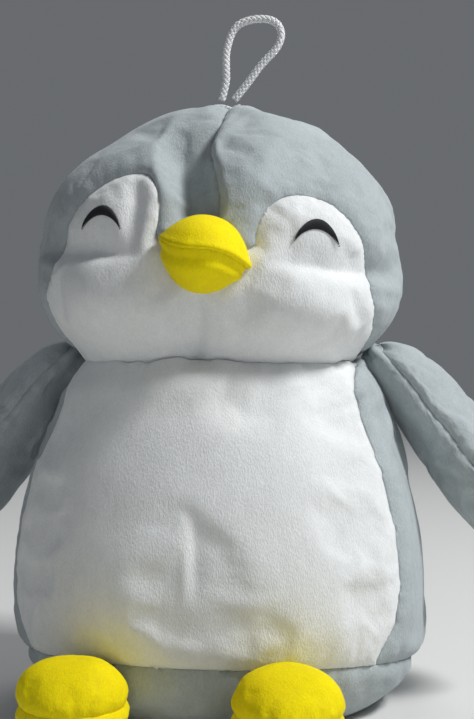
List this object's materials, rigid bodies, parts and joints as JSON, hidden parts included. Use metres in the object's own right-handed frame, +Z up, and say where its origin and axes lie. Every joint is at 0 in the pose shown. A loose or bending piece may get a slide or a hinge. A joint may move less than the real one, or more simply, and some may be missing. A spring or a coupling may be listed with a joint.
{
  "type": "plush penguin",
  "caption": "Standing soft toy penguin with a round belly, big head, beak, two flippers, two feet and a hanging loop on the crown.",
  "frame": {"origin": "on the floor, at the middle of the flat base, under the body's axis", "axes": "+Z up through the crown, the face and toes look along -Y, +X is the toy's own left"},
  "size_m": [0.3124, 0.1997, 0.3246],
  "materials": {
    "grey_plush": "short-pile velour, grey",
    "white_plush": "short-pile velour, off-white",
    "yellow_plush": "short-pile velour, bright yellow",
    "black_thread": "satin-stitched embroidery thread",
    "white_thread": "sewing thread",
    "white_cord": "round braided cord",
    "fibre_fill": "loose polyester fibre fill"
  },
  "bodies": {
    "torso": {"belly_panel": "white_plush", "back_left": "grey_plush", "back_right": "grey_plush", "base_panel": "grey_plush", "body_stuffing": "fibre_fill"},
    "head": {"face_panel": "white_plush", "hood_left": "grey_plush", "hood_right": "grey_plush", "head_stuffing": "fibre_fill", "eye_left": "black_thread", "eye_right": "black_thread", "beak_upper": "yellow_plush", "beak_lower": "yellow_plush", "beak_stuffing": "fibre_fill", "loop_tack": "white_thread"},
    "flipper_left": {"flipper_left_outer": "grey_plush", "flipper_left_inner": "grey_plush", "flipper_left_stuffing": "fibre_fill"},
    "flipper_right": {"flipper_right_outer": "grey_plush", "flipper_right_inner": "grey_plush", "flipper_right_stuffing": "fibre_fill"},
    "foot_left": {"foot_left_top": "yellow_plush", "foot_left_sole": "yellow_plush", "foot_left_stuffing": "fibre_fill"},
    "foot_right": {"foot_right_top": "yellow_plush", "foot_right_sole": "yellow_plush", "foot_right_stuffing": "fibre_fill"},
    "loop": {"hanging_loop": "white_cord"}
  },
  "joints": [
    {"name": "head_nod", "type": "hinge", "parent": "torso", "child": "head", "pos_m": [0, 0, 0.208], "axis": [1, 0, 0], "range_deg": [-6, 6], "stiffness_Nm_per_rad": 1},
    {"name": "flipper_left_swing", "type": "hinge", "parent": "torso", "child": "flipper_left", "pos_m": [0.07921, 0.014, 0.163], "axis": [0, -1, 0], "range_deg": [-2, 72], "stiffness_Nm_per_rad": 0.03, "springref_deg": 2.86},
    {"name": "flipper_right_swing", "type": "hinge", "parent": "torso", "child": "flipper_right", "pos_m": [-0.07921, 0.014, 0.163], "axis": [0, 1, 0], "range_deg": [-2, 72], "stiffness_Nm_per_rad": 0.03, "springref_deg": 2.86},
    {"name": "foot_left_tilt", "type": "hinge", "parent": "torso", "child": "foot_left", "pos_m": [0.0435, -0.08954, 0.0195], "axis": [-0.9962, -0.0872, 0], "range_deg": [-8, 25], "stiffness_Nm_per_rad": 0.03},
    {"name": "foot_right_tilt", "type": "hinge", "parent": "torso", "child": "foot_right", "pos_m": [-0.0435, -0.08954, 0.0195], "axis": [-0.9962, 0.0872, 0], "range_deg": [-8, 25], "stiffness_Nm_per_rad": 0.03},
    {"name": "loop_swing", "type": "hinge", "parent": "head", "child": "loop", "pos_m": [0, 0, 0.2848], "axis": [1, 0, 0], "range_deg": [-80, 80], "stiffness_Nm_per_rad": 0.0003}
  ]
}
